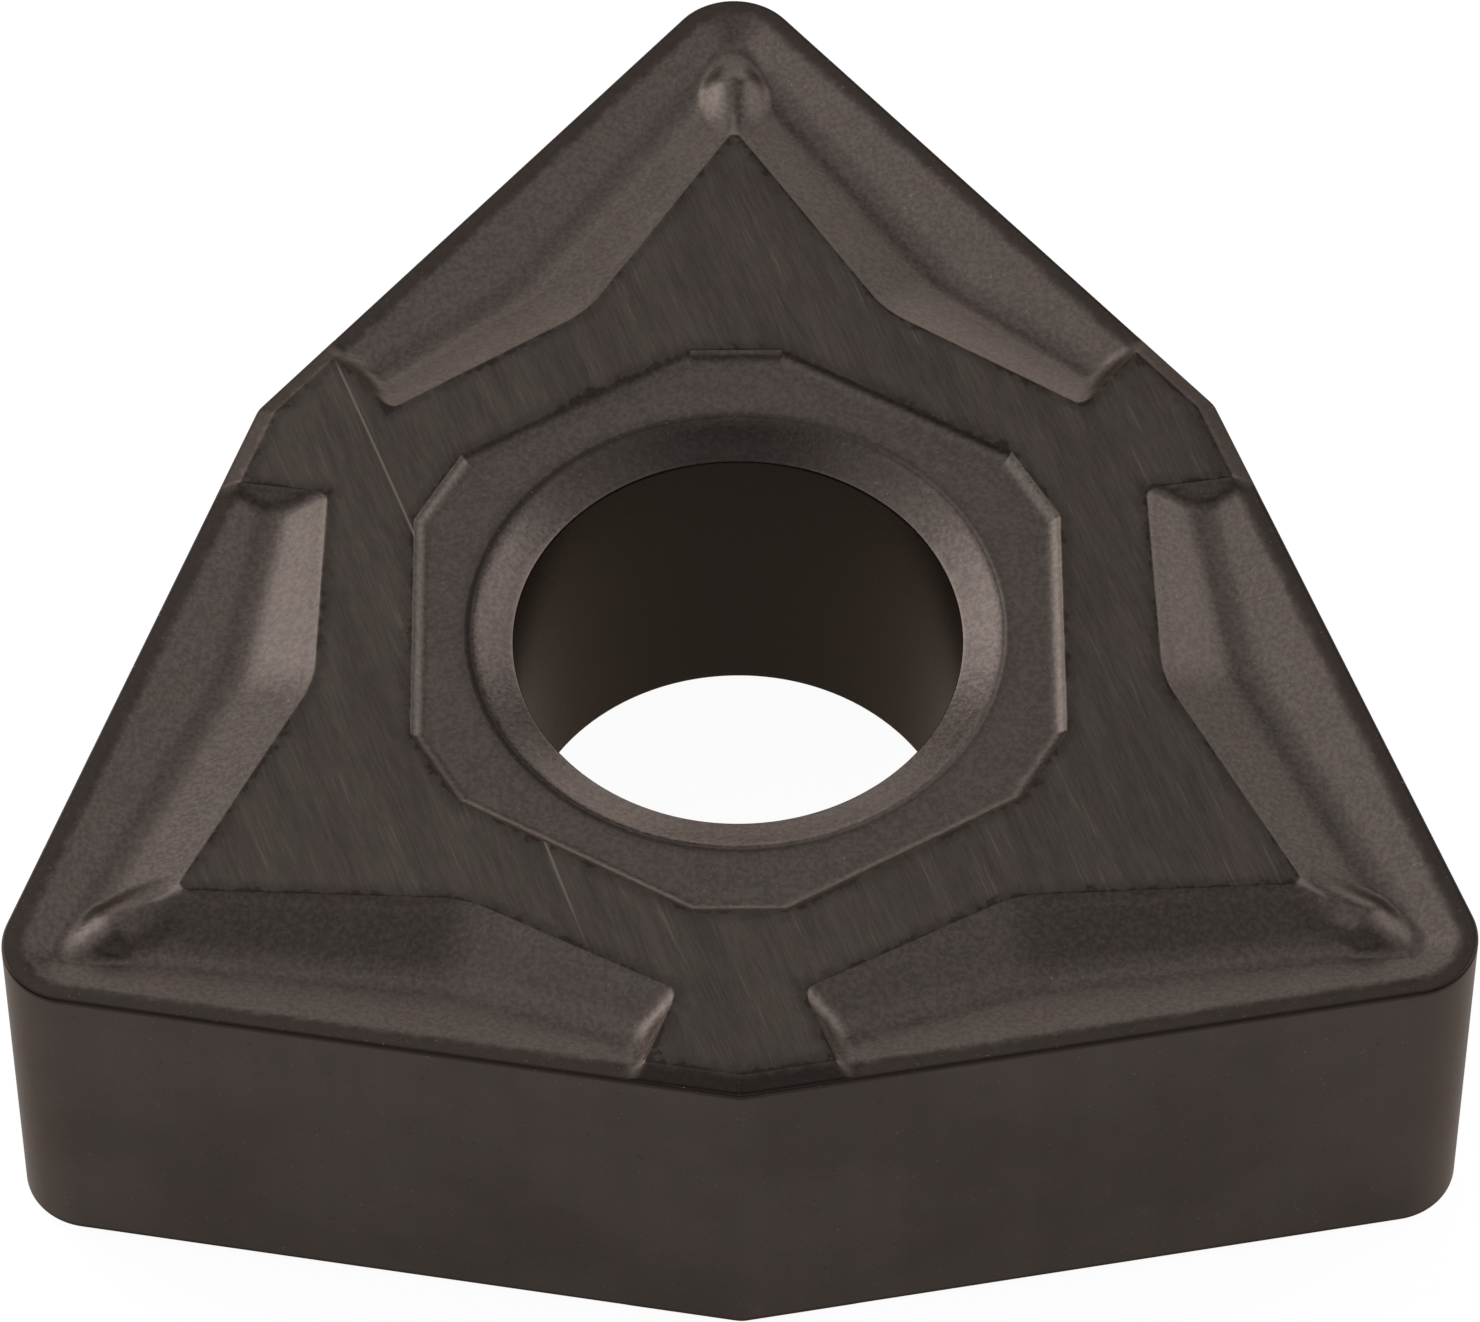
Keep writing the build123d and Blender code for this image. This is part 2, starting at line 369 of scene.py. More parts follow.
def edge_insets(shape):
    """Insets of the grid's rows on the hone, the land and its roll, and the drop of the hone's rows.

    The hone is a quarter circle: inset = r (1 - cos a), drop = r (1 - sin a).
    """
    turn = np.radians(np.linspace(0, 90, 6))
    hone = shape.hone * (1 - np.cos(turn))
    land = np.array((0.06, 0.10, 0.137, 0.17, 0.20, 0.24, 0.27)) * MM
    drop = shape.hone * (1 - np.sin(turn))
    return np.concatenate((hone, land)), np.concatenate((drop, 0 * land))


def outer_rows(limit, shape):
    """Insets of all rows from the cutting edge to the limit of each column, and each row's drop.

    The rows near the edge keep their insets. The others share out what is left, and the last two
    stand close together, for the crease at the seat.
    """
    fixed, drop = edge_insets(shape)
    share = np.linspace(0, 1, 28)[1:, None]
    free = fixed[-1] + share * (limit - shape.crease - fixed[-1])
    insets = np.concatenate((fixed[:, None] + 0 * limit, free, limit[None, :]))
    return insets, np.concatenate((drop, np.zeros(len(free) + 1)))


def outer_patch(along, limit, lean, arc_turn, shape, at):
    """The face from the cutting edge inward, with the flank below it. Returns points and insets.

    A column that starts at a place on the flank runs along + lean * inset. At the blunt corner the
    points as far in as the bevel's rim lie on circles round the corner's centre. On the nose's arc
    arc_turn gives the direction from the arc's centre, and a point is centre + (r - inset) * it.
    The flank's rows carry the height below the hone as a negative inset.
    """
    insets, drop = outer_rows(limit, shape)
    places = along + lean * insets
    plan = to_plan(places, insets, at["flank"])

    spread = math.tan(CORNER_TURN) * shape.corner_radius
    corner_turn = CORNER_DIRECTION - CORNER_TURN * (along - at["corner"]) / spread
    centre = at["corner_centre"] * towards(CORNER_DIRECTION)
    rounded = centre + (shape.corner_radius - insets)[..., None] * towards(corner_turn)
    at_corner = (along < at["corner"] + spread + TINY) & (insets <= shape.bevel_width + TINY)
    plan = np.where(at_corner[..., None], rounded, plan)

    centre = at["arc_centre"] * towards(NOSE_DIRECTION)
    swept = centre + (shape.nose_radius - insets)[..., None] * towards(arc_turn)
    on_arc = arc_turn < FLANK_NORMAL - TINY
    plan = np.where(on_arc[None, :, None], swept, plan)

    height = at["edge"] + pressed_height(plan, places, insets, shape, at) - drop[:, None]
    face = np.concatenate((plan, height[..., None]), -1)

    top = at["edge"] - shape.hone
    levels = np.array((0, 0.5 * top, top - 0.03 * MM))
    flank = np.repeat(face[:1], len(levels), 0)
    flank[..., 2] = levels[:, None]
    below = np.repeat((levels - top)[:, None], len(along), 1)
    return np.concatenate((flank, face)), np.concatenate((below, insets))


def recess_turns(long_side, short_side):
    """Directions of four points on the recess's outline: two corners between two sides' middles.

    They start at the middle of the short side at the blunt corner and end at the middle of the one
    at the nose. At a corner, turned by a from the middle, both sides' distances agree:
    short / cos a = long / cos(30 degrees - a).
    """
    apart = math.radians(30)
    offset = math.atan((long_side / short_side - math.cos(apart)) / math.sin(apart))
    return np.array((CORNER_DIRECTION, CORNER_DIRECTION - offset, NOSE_DIRECTION + offset, NOSE_DIRECTION))


def recess_outline(share, long_side, short_side):
    """Points on the recess's outline at shares 0 to 3, which stand for those four directions."""
    turns = recess_turns(long_side, short_side)
    offset = turns[0] - turns[1]
    reach = short_side / np.cos((0, offset, offset, 0))
    corners = reach[:, None] * towards(turns)
    return np.stack([np.interp(share, range(4), corners[:, axis]) for axis in (0, 1)], -1)


def recess_shares(edge_points, shape):
    """The share along the recess's outline for each column, by the direction of its seat edge point.

    The nearest columns are moved onto the outline's two corners, with neighbours close by.
    """
    turn = np.arctan2(edge_points[:, 1], edge_points[:, 0])
    turn[0], turn[-1] = CORNER_DIRECTION, NOSE_DIRECTION
    share = np.interp(-turn, -recess_turns(shape.recess_long, shape.recess_short), range(4))
    for corner, beside in ((1, 0.05), (2, 0.015)):
        nearest = int(np.argmin(np.abs(share - corner)))
        share[nearest] = corner
        share[nearest - 1] = max(share[nearest - 1], corner - beside)
        share[nearest + 1] = min(share[nearest + 1], corner + beside)
    return share


def recess_height(inward, shape):
    """Down the recess's hollow wall, from the seat to the floor.

    The wall is an arc that lies flat on the floor at its foot. At a distance q before the foot it
    is R - sqrt(R^2 - q^2) high, with R = (width^2 + depth^2) / (2 depth). Its rim is rounded.
    """
    width, depth = shape.recess_wall, shape.recess_depth
    radius = (width ** 2 + depth ** 2) / (2 * depth)
    before_foot = np.clip(width - inward, 0, 0.97 * radius)
    wall = shape.seat_rise - depth + radius - np.sqrt(radius ** 2 - before_foot ** 2)
    return soft_min(np.full_like(inward, shape.seat_rise), wall, 1.2 * shape.crease)


def sink_profile(shape, at):
    """Radii and heights of the rings from the recess floor over the countersink into the bore.

    The countersink falls from its rim behind a fine shallow line. It is slightly hollow: at a
    share t of its width from the bore it lies width (1 - t) (slope + hollow t / 2) below the rim.
    Its lip is an arc that is tangent to it and to the bore: centre (bore + lip, z), radius lip.
    """
    floor = at["edge"] + shape.seat_rise - shape.recess_depth
    slope = math.tan(shape.sink_angle)
    lip = shape.bore_lip
    lip_slope = math.atan(slope - shape.sink_hollow / 2)
    start = shape.bore_radius + lip * (1 - math.sin(lip_slope))
    width = shape.sink_radius - start

    line = np.array((0.05, 0.028, 0.012, 0.0, -0.012, -0.035)) * MM
    lowered = np.array((0.0, 0.1, 0.8, 1.0, 0.7, 0.15)) * shape.sink_line
    inner = np.linspace(shape.sink_radius + line[-1], start, 8)[1:-1]
    radii = np.concatenate((shape.sink_radius + line, inner))
    share = np.minimum((radii - start) / width, 1)
    heights = floor - width * (1 - share) * (slope + shape.sink_hollow * share / 2)
    heights[:len(line)] -= lowered

    top = floor - width * slope - lip * math.cos(lip_slope)
    turn = np.linspace(math.pi / 2 + lip_slope, math.pi, 6)
    lip_radii = shape.bore_radius + lip + lip * np.cos(turn)
    lip_heights = top + lip * np.sin(turn)
    wall_heights = np.array((top - 0.03 * MM, top / 2, 0))
    return (np.concatenate((radii, lip_radii, np.full(3, shape.bore_radius))),
            np.concatenate((heights, lip_heights, wall_heights)))


def inner_patch(edge_points, shape, at):
    """The seat from its edge to the recess, then the recess, the countersink and the bore's wall.

    The seat's rows lie on straight lines from the seat's edge to the recess's outline. The recess
    is between that outline and the same outline offset inwards by the wall's width, carried on
    beyond both. Below it the rows are circles.
    """
    share = recess_shares(edge_points, shape)
    rim = recess_outline(share, shape.recess_long, shape.recess_short)
    wall = shape.recess_wall
    foot = recess_outline(share, shape.recess_long - wall, shape.recess_short - wall)

    near = np.array((0.014, 0.04, 0.07, 0.092, 0.11, 0.15, 0.20)) * MM
    reach = np.linalg.norm(rim - edge_points, axis=1)
    far = near[-1] + np.array((0.2, 0.45, 0.7))[:, None] * (reach - near[-1])
    steps = np.concatenate((near[:, None] + 0 * reach, far))
    seat = edge_points + (steps / reach)[..., None] * (rim - edge_points)

    inward = np.array((-0.10, -0.02, -0.008, 0, 0.01, 0.03, 0.055, 0.08, 0.105, 0.13, 0.155, 0.18,
                       0.20, 0.24)) * MM
    recess = rim + (inward / wall)[:, None, None] * (foot - rim)
    plan = np.concatenate((seat, recess))

    height = np.concatenate((
        pressed_height(seat, *from_plan(seat, at["flank"]), shape, at),
        recess_height(inward, shape)[:, None] + 0 * reach))
    upper = np.concatenate((plan, at["edge"] + height[..., None]), -1)

    radii, heights = sink_profile(shape, at)
    turn = np.arctan2(foot[:, 1], foot[:, 0])
    turn[0], turn[-1] = CORNER_DIRECTION, NOSE_DIRECTION
    circles = radii[:, None, None] * towards(turn)
    levels = heights[:, None] + 0 * turn
    rings = np.concatenate((circles, levels[..., None]), -1)
    return np.concatenate((upper, rings))


def seat_margin(plan, shape, at):
    """Distance inside the rim of the ground seat, negative off the seat.

    Outside the groove it is the larger of the distances past its end wall and past its climbing
    wall. The bevel's rim and the nearest side of the recess, the largest of the distances beyond
    its three sides in this twelfth, bring it down.
    """
    along, inset = from_plan(plan, at["flank"])
    lean = shape.end_lean
    past_end = (at["end"] - along - inset * math.tan(lean)) * math.cos(lean)
    past_groove = np.maximum(past_end, inset - wall_width(along, shape, at))
    sides = ((90, shape.recess_short), (120, shape.recess_long), (150, shape.recess_short))
    past_recess = np.max([plan @ towards(math.radians(turn)) - reach for turn, reach in sides], axis=0)
    return np.minimum(np.minimum(inset - shape.bevel_width, past_groove), past_recess)


def highlight_on_tip(plan, shape, at):
    """1 on the ramp at the seat's tip, where it cuts the walls above the bump's crest, and 0 elsewhere:
    where a highlight is painted.
    """
    x, y = plan[:, 0], plan[:, 1]
    along, inset = from_plan(plan, at["flank"])
    wall = shape.seat_rise - (wall_width(along, shape, at) - inset) * math.tan(shape.wall_angle)
    ramp = ramp_height(x, y, shape, at)
    cut = np.clip((wall - ramp) / (0.008 * MM), 0, 1)
    above = np.clip((ramp - crest_height(y, shape, at)) / (0.006 * MM), 0, 1)
    return cut * above * (y > at["tip"] - shape.ramp_setback - 0.03 * MM)


def grid_faces(rows, columns, start):
    """Four-sided faces over a grid of points, wound so that they face up."""
    index = start + np.arange(rows * columns).reshape(rows, columns)
    corners = (index[:-1, :-1], index[1:, :-1], index[1:, 1:], index[:-1, 1:])
    return np.stack(corners, -1).reshape(-1, 4)


def half_sector(shape):
    """Points and faces of one twelfth, and the numbers that its material needs on each point.

    Its columns lean with the rounded corner and the end wall, and stand square to the flank from
    the bend on. Each column's limit is the seat's edge, where its inset is the wall's width at that
    place, and a few rounds settle it. Past the seat's tip the limit is the nose's centre line.
    """
    at = shape.place()
    ring, nose = flank_columns(shape, at)
    centre_line = at["flank"] - np.tan(HALF_NOSE) * nose

    lean_places = (at["corner"], at["end"], at["end"] + 0.4 * MM, at["bend"] - 0.2 * MM)
    leans = (math.tan(CORNER_TURN), -math.tan(shape.end_lean), -math.tan(shape.end_lean), 0)
    ring_lean = np.interp(ring, lean_places, leans)
    ring_limit = wall_width(ring, shape, at)
    for _ in range(4):
        ring_limit = wall_width(ring + ring_lean * ring_limit, shape, at)
    ring_limit[-1] = centre_line[0]
    straight = np.full_like(ring, FLANK_NORMAL)
    ring_points, ring_inset = outer_patch(ring, ring_limit, ring_lean, straight, shape, at)

    arc_turn = np.linspace(FLANK_NORMAL, NOSE_DIRECTION, 15)[1:]
    nose_along = np.concatenate((nose, np.full_like(arc_turn, at["arc_start"])))
    nose_limit = np.concatenate((centre_line, np.full_like(arc_turn, shape.nose_radius)))
    nose_turn = np.concatenate((np.full_like(nose, FLANK_NORMAL), arc_turn))
    nose_points, nose_inset = outer_patch(nose_along, nose_limit, 0 * nose_along, nose_turn, shape, at)

    inner_points = inner_patch(ring_points[-1, :, :2], shape, at)
    ring_grid = np.concatenate((ring_points, inner_points))
    ring_inset = np.concatenate((ring_inset, np.full(inner_points.shape[:2], INNER_INSET)))

    faces = np.concatenate((
        grid_faces(*ring_grid.shape[:2], 0),
        grid_faces(*nose_points.shape[:2], ring_grid.shape[0] * ring_grid.shape[1])))
    points = np.concatenate((ring_grid.reshape(-1, 3), nose_points.reshape(-1, 3)))
    inset = np.concatenate((ring_inset.ravel(), nose_inset.ravel()))
    margin = seat_margin(points[:, :2], shape, at)
    # The last number marks where a highlight is painted on the ramps at the seat's tips.
    return points, faces, {"inset": inset, "margin": margin, "rubbed": highlight_on_tip(points[:, :2], shape, at)}


def whole_surface(shape):
    """Turns and mirrors the twelfth to all three noses, both sides of each and both faces."""
    points, faces, attributes = half_sector(shape)
    all_points, all_faces = [], []
    for turn in np.radians((0, 120, 240)):
        for side in (1, -1):
            for face in (1, -1):
                mirrored = points * np.array((side, 1, face))
                x = mirrored[:, 0] * math.cos(turn) - mirrored[:, 1] * math.sin(turn)
                y = mirrored[:, 0] * math.sin(turn) + mirrored[:, 1] * math.cos(turn)
                winding = faces if side * face > 0 else faces[:, ::-1]
                all_faces.append(winding + len(all_points) * len(points))
                all_points.append(np.stack((x, y, mirrored[:, 2]), -1))
    attributes = {name: np.tile(values, 12) for name, values in attributes.items()}
    return np.concatenate(all_points), np.concatenate(all_faces), attributes


def mesh_from(name, points, faces, attributes):
    """A closed mesh of the points and faces, with one number per point for each attribute."""
    mesh = bpy.data.meshes.new(name)
    mesh.from_pydata(points.tolist(), [], faces.tolist())
    for key, values in attributes.items():
        mesh.attributes.new(key, "FLOAT", "POINT").data.foreach_set("value", values.astype(np.float32))
    joined = bmesh.new()
    joined.from_mesh(mesh)
    bmesh.ops.remove_doubles(joined, verts=joined.verts, dist=MERGE)
    bmesh.ops.recalc_face_normals(joined, faces=joined.faces)
    loose = [edge for edge in joined.edges if len(edge.link_faces) != 2]
    if loose:
        raise RuntimeError(f"{name} isn't closed: {len(loose)} edges don't join two faces")
    joined.to_mesh(mesh)
    joined.free()
    mesh.shade_smooth()
    return mesh


class Value:
    """One output of a node. Arithmetic on it adds Math nodes to the same tree."""

    def __init__(self, shader, socket):
        self.shader = shader
        self.socket = socket

    def math(self, operation, first, second=0.0):
        """A Math node on one or two numbers or values."""
        return self.shader.node("ShaderNodeMath", {"operation": operation}, {0: first, 1: second})

    def __add__(self, other):
        return self.math("ADD", self, other)

    def __sub__(self, other):
        return self.math("SUBTRACT", self, other)

    def __mul__(self, other):
        return self.math("MULTIPLY", self, other)

    def __truediv__(self, other):
        return self.math("DIVIDE", self, other)

    def __pow__(self, other):
        return self.math("POWER", self, other)

    def __abs__(self):
        return self.math("ABSOLUTE", self)

    __radd__ = __add__
    __rmul__ = __mul__

    def __rsub__(self, other):
        return self.math("SUBTRACT", other, self)

    def __rtruediv__(self, other):
        return self.math("DIVIDE", other, self)


class Shader:
    """The nodes of one material or world."""

    def __init__(self, owner):
        owner.use_nodes = True
        self.tree = owner.node_tree
        self.tree.nodes.clear()

    def node(self, kind, settings=None, inputs=None, output=0):
        """Adds a node: first its settings, then the values or links of its sockets."""
        node = self.tree.nodes.new(kind)
        for key, value in (settings or {}).items():
            setattr(node, key, value)
        for key, value in (inputs or {}).items():
            if isinstance(value, Value):
                self.tree.links.new(value.socket, node.inputs[key])
            else:
                node.inputs[key].default_value = value
        return Value(self, node.outputs[output]) if node.outputs else None

    def attribute(self, name):
        """A number kept on the mesh's points."""
        return self.node("ShaderNodeAttribute", {"attribute_name": name}, output="Fac")

    def step(self, value, low, high):
        """Rises smoothly from 0 at low to 1 at high. With high below low it falls."""
        return self.node("ShaderNodeMapRange", {"interpolation_type": "SMOOTHSTEP"},
                         {"Value": value, "From Min": low, "From Max": high})

    def noise(self, vector, scale, detail=2.0, roughness=0.5):
        """Fractal noise from 0 to 1 around 0.5."""
        return self.node("ShaderNodeTexNoise", None, {
            "Vector": vector, "Scale": scale, "Detail": detail, "Roughness": roughness})

    def vector(self, x, y, z):
        """A vector of three numbers or values."""
        return self.node("ShaderNodeCombineXYZ", None, {"X": x, "Y": y, "Z": z})

    def mix(self, factor, first, second):
        """Goes from the first colour to the second."""
        return self.node("ShaderNodeMix", {"data_type": "RGBA"}, {0: factor, 6: first, 7: second}, output=2)

    def blend(self, factor, first, second):
        """Goes from the first number to the second."""
        return first + (second - first) * factor


def tone(colour, factor=1.0):
    """A colour made darker or lighter by a factor, as the four numbers that a socket takes."""
    return (*(channel * factor for channel in colour), 1.0)


def coating_places(s, shape):
    """Where a point lies, what surface it is on, and the noises that the coating's colours share.

    Places are in millimetres and masks go from 0 to 1. inset is the distance in from the cutting
    edge, negative down the flank. margin is the distance inside the rim of the ground seat.
    """
    p = SimpleNamespace()
    place = s.node("ShaderNodeTexCoord", output="Object")
    p.vector = s.node("ShaderNodeVectorMath", {"operation": "SCALE"}, {0: place, "Scale": 1 / MM})
    split = s.node("ShaderNodeSeparateXYZ", None, {0: p.vector})
    p.x, p.y, p.z = (Value(s, split.socket.node.outputs[axis]) for axis in "XYZ")
    p.radius = (p.x * p.x + p.y * p.y) ** 0.5
    p.inset = s.attribute("inset") / MM
    p.margin = s.attribute("margin") / MM
    p.rubbed = s.attribute("rubbed")

    p.grain = s.noise(p.vector, 17.0, 3.0, 0.6)
    p.coarse = s.noise(p.vector, 9.0, 3.0, 0.65)
    p.patch = s.noise(p.vector, 5.0, 2.0, 0.5)
    p.cloud = s.noise(p.vector, 1.3, 3.0, 0.6)

    seat = SEAT_HEIGHT / MM
    bore = shape.bore_radius / MM
    p.sink_radius = shape.sink_radius / MM
    p.ground = s.step(abs(p.z), seat - 0.010, seat - 0.003)
    p.flank = s.step(p.inset, -0.02, -0.05)
    p.bore = s.step(p.radius, bore + 0.015, bore + 0.005)
    p.sunk = s.step(p.radius, p.sink_radius + 0.01, p.sink_radius - 0.01) * (1 - p.bore)
    p.lip = s.step(p.radius, bore + 0.045, bore + 0.02) * (1 - p.bore)
    p.honed = s.step(p.inset, 0.06, 0.025) * (1 - p.flank)
    ragged = p.inset + (p.patch - 0.5) * 0.14 + (p.coarse - 0.5) * 0.10
    p.land = s.step(ragged, 0.28, 0.15) * (1 - p.flank)
    return p


def grinding_places(s, p, finish):
    """Places along and across the grinding lines, and noises that are drawn out along them."""
    g = SimpleNamespace()
    g.cosine, g.sine = math.cos(finish.grinding), math.sin(finish.grinding)
    g.along = p.x * g.cosine + p.y * g.sine
    g.across = p.y * g.cosine - p.x * g.sine
    g.broad = s.noise(s.vector(g.across * 4.0, g.along * 0.45, p.z), 1.0, 3.0, 0.6)
    g.lines = s.noise(s.vector(g.across * 30.0, g.along * 0.9, p.z), 1.0, 2.0, 0.6)
    g.fine = s.noise(s.vector(g.across * 60.0, g.along * 3.0, p.z), 1.0, 2.0, 0.6)
    return g


def scratch_mask(s, p, g, finish):
    """The long scratch, a shallow parabola beside the grinding lines, on the upper seat alone."""
    start_x, start_y = (value / MM for value in finish.scratch_start)
    start_along = start_x * g.cosine + start_y * g.sine
    start_across = start_y * g.cosine - start_x * g.sine
    run = (g.along - start_along) / (finish.scratch_length / MM)
    bow = run * (1 - run) * (4 * finish.scratch_bow / MM)
    beside = abs(g.across - start_across - bow)
    ends = s.step(run, 0.0, 0.02) * s.step(run, 1.0, 0.8)
    return s.step(beside, 0.020, 0.006) * ends * s.step(p.z, 0, 1)


def pressed_colour(s, p, finish):
    """Grained coating of the chip former and the recess, with the countersink in it.

    Painted shade lies round the countersink and in its fine line, most of it on the left, and darkens the
    rear of the upper countersink. Painted highlights lie on the lip above the bore and on the ramps at the
    seat's tips.
    """
    mottle = s.step(p.grain, 0.34, 0.68)
    pressed = s.mix(mottle * 0.65 + p.cloud * 0.35 - 0.1,
                    tone(finish.pressed, 0.78), tone(finish.pressed, 1.28))
    # Painted shade: a darker band round the countersink's rim and along its fine line, stronger on the
    # left.
    ragged = p.radius + (p.coarse - 0.5) * 0.10
    around = s.step(ragged, p.sink_radius + 0.24, p.sink_radius + 0.02) * (0.62 - p.x * 0.06)
    off_line = abs(p.radius + (p.coarse - 0.5) * 0.05 - (p.sink_radius + 0.04))
    line = s.step(off_line, 0.055, 0.02) * (0.55 - p.x * 0.13)
    pressed = s.mix(around * 0.45 + line * 0.6, pressed, tone(finish.pressed, 0.30))

    sunk = s.mix(mottle * 0.7 + p.cloud * 0.3 - 0.1, tone(finish.sunk, 0.76), tone(finish.sunk, 1.30))
    # Painted shade: the rear of the countersink on the upper face is made darker.
    sink_rear_shade = s.step(p.y + (p.coarse - 0.5) * 1.2, 1.2, 2.7) * s.step(p.z, 0, 1)
    sunk = s.mix(sink_rear_shade * 0.55, sunk, tone(finish.sunk, 0.45))
    pressed = s.mix(p.sunk, pressed, sunk)
    # Painted highlight: a pale band along the lip above the bore.
    pressed = s.mix(p.lip * 0.25, pressed, tone(finish.sunk, 1.7))
    # Painted highlight: the ramps at the seat's tips are made pale.
    return s.mix(p.rubbed * 0.8, pressed, tone(finish.pressed, 1.85))


def flank_colour(s, p, finish):
    """Coating of the flanks, streaked up and down, with small dark spots and wide tarnish."""
    streaks = s.noise(s.vector(p.x * 3.0, p.y * 3.0, p.z * 0.12), 1.0, 3.0, 0.6)
    flanks = s.mix(streaks * 0.45 + p.grain * 0.35 + p.cloud * 0.2,
                   tone(finish.flank, 0.74), tone(finish.flank, 1.26))
    flanks = s.mix(s.step(p.coarse, 0.66, 0.72) * 0.55, flanks, tone(finish.flank, 0.45))
    tarnish = s.noise(p.vector, 0.45, 3.0, 0.6)
    return s.mix(s.step(tarnish, 0.42, 0.66) * 0.38, flanks, tone(finish.flank, 0.62))


def seat_colour(s, p, g, finish):
    """Ground seats: fine and pale grinding lines, painted shade along the rim with small dark chips that
    also paint shade there, and the scratch.
    """
    strokes = s.step(g.broad, 0.35, 0.65) * 0.2 + s.step(g.fine, 0.3, 0.7) * 0.3
    seats = s.mix(strokes + p.grain * 0.25 + p.cloud * 0.25,
                  tone(finish.ground, 0.56), tone(finish.ground, 1.44))
    pale_lines = s.step(g.lines, 0.60, 0.72) * s.step(g.broad, 0.45, 0.62)
    seats = s.mix(pale_lines * 0.5, seats, tone(finish.ground, 2.0))
    # Painted shade: a ragged darker band along the seat's rim, where it drops into the groove and the
    # recess.
    rim_shade = p.margin + (p.coarse - 0.5) * 0.26 + (p.patch - 0.5) * 0.12
    seats = s.mix(s.step(rim_shade, 0.20, 0.02) * 0.40, seats, tone(finish.ground, 0.40))
    # Small dark chips along the rim: partly chips in the coating, partly painted shade.
    nicks_and_shade = p.margin + (p.coarse - 0.5) * 0.30 + (p.patch - 0.5) * 0.20 + (p.cloud - 0.5) * 0.30
    seats = s.mix(s.step(nicks_and_shade, 0.035, -0.02) * 0.6, seats, tone(finish.ground, 0.25))
    return s.mix(scratch_mask(s, p, g, finish) * 0.80, seats, tone(finish.ground, 2.6))


def coating(shape, finish):
    """Dark coated carbide: grain on the pressed faces, grinding lines on the seats, a honed edge."""
    material = bpy.data.materials.new("coated_carbide")
    s = Shader(material)
    p = coating_places(s, shape)
    g = grinding_places(s, p, finish)

    base = s.mix(p.flank, pressed_colour(s, p, finish), flank_colour(s, p, finish))
    # Painted shade: inside the bore, the darker bore colour stands for the shade there.
    base = s.mix(p.bore, base, tone(finish.bore))
    base = s.mix(p.ground, base, seat_colour(s, p, g, finish))
    base = s.mix(p.land * 0.78, base, tone(finish.honed, 1.25))
    base = s.mix(p.honed * 0.8, base, tone(finish.honed))
    specks = s.step(s.noise(p.vector, 26.0, 1.0, 0.5), 0.74, 0.77) * (1 - p.ground) * (1 - p.bore)
    base = s.mix(specks * 0.45, base, tone(finish.pressed, 2.4))
    warm = s.mix(s.noise(p.vector, 2.2, 2.0, 0.6), (0.96, 1.02, 1.0, 1.0), (1.06, 0.98, 0.98, 1.0))
    base = s.node("ShaderNodeMix", {"data_type": "RGBA", "blend_type": "MULTIPLY"},
                  {0: 1.0, 6: base, 7: warm}, output=2)

    pressed = finish.pressed_roughness + (p.grain - 0.5) * 0.10 - p.sunk * finish.sunk_polish
    ground = finish.ground_roughness + (g.fine - 0.5) * 0.16
    roughness = s.blend(p.honed, s.blend(p.ground, pressed, ground), finish.honed_roughness)

    smoother = (1 - p.ground) * (1 - p.honed * 0.8) * (1 - p.flank * 0.4)
    rough = (p.grain - 0.5) * smoother * (finish.grain / MM)
    lined = ((g.lines - 0.5) + (g.fine - 0.5) * 0.6) * p.ground * (finish.scratch / MM)
    bump = s.node("ShaderNodeBump", None, {"Strength": 1.0, "Distance": MM, "Height": rough + lined})
    surface = s.node("ShaderNodeBsdfPrincipled", None, {
        "Base Color": base, "Roughness": roughness, "Normal": bump, "Metallic": 1.0,
        "Specular Tint": tone(finish.glancing)})
    s.node("ShaderNodeOutputMaterial", None, {"Surface": surface})
    return material


def floor_material(studio):
    """A pale floor that is white to the camera and keeps the object's shadow."""
    material = bpy.data.materials.new("studio_floor")
    s = Shader(material)
    rays = s.node("ShaderNodeLightPath")
    camera, glossy, through = (Value(s, rays.socket.node.outputs[f"Is {kind} Ray"])
                               for kind in ("Camera", "Glossy", "Transmission"))
    lit = s.node("ShaderNodeBsdfDiffuse", None, {"Color": tone(studio.floor)})
    white = s.node("ShaderNodeEmission", None, {"Color": (1, 1, 1, 1), "Strength": studio.floor_glow})
    share = (camera + through) * studio.floor_white + glossy * studio.floor_gloss
    mixed = s.node("ShaderNodeMixShader", None, {0: share, 1: lit, 2: white})
    s.node("ShaderNodeOutputMaterial", None, {"Surface": mixed})
    return material


def room(studio):
    """A faint, plain light from all round."""
    world = bpy.data.worlds.new("studio_room")
    s = Shader(world)
    light = s.node("ShaderNodeBackground", None, {"Color": (1, 1, 1, 1), "Strength": studio.room})
    s.node("ShaderNodeOutputWorld", None, {"Surface": light})
    bpy.context.scene.world = world


def lamp(name, azimuth, elevation, power, studio):
    """A soft wide lamp that looks at the insert, azimuth from +X and elevation from the floor."""
    data = bpy.data.lights.new(name, "AREA")
    data.shape = "RECTANGLE"
    data.size, data.size_y = studio.lamp_width, studio.lamp_height
    data.energy = power
    item = bpy.data.objects.new(name, data)
    bpy.context.collection.objects.link(item)
    turn, rise = math.radians(azimuth), math.radians(elevation)
    outward = Vector((math.cos(rise) * math.cos(turn), math.cos(rise) * math.sin(turn), math.sin(rise)))
    item.location = outward * studio.distance
    item.rotation_euler = outward.to_track_quat("Z", "Y").to_euler()


